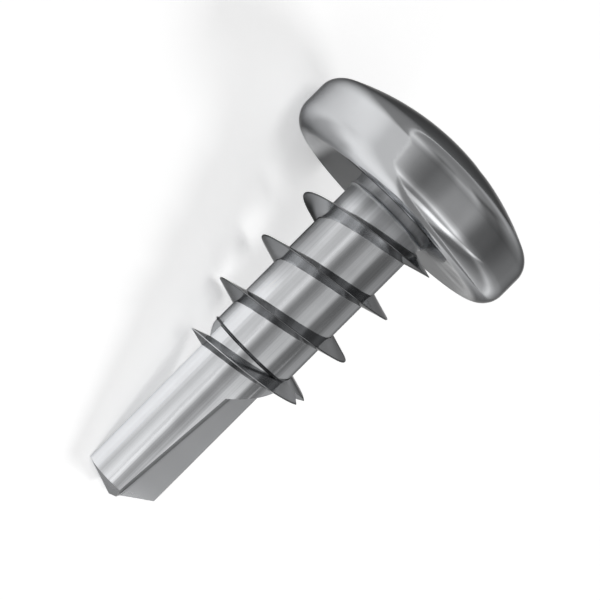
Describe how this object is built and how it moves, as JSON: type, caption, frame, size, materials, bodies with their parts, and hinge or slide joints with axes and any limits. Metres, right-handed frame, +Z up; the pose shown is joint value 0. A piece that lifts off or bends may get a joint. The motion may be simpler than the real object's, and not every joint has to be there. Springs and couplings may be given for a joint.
{
  "type": "self-drilling screw",
  "caption": "Short self-drilling metal screw with a low domed pan head, a cross recess, a coarse sharp thread and a straight two-fluted drill point",
  "frame": {"origin": "on the floor under the middle of the screw's bounding box, as it lies at rest", "axes": "+Z up; +X along the screw as seen from above, from the point towards the head, whose end of the axis is the higher; +Y to the left of that"},
  "size_m": [0.0136, 0.0078, 0.0077],
  "materials": {
    "steel": "bright zinc-plated steel, smooth and slightly mirror-like"
  },
  "bodies": {
    "root": {"screw": "steel"}
  },
  "joints": []
}
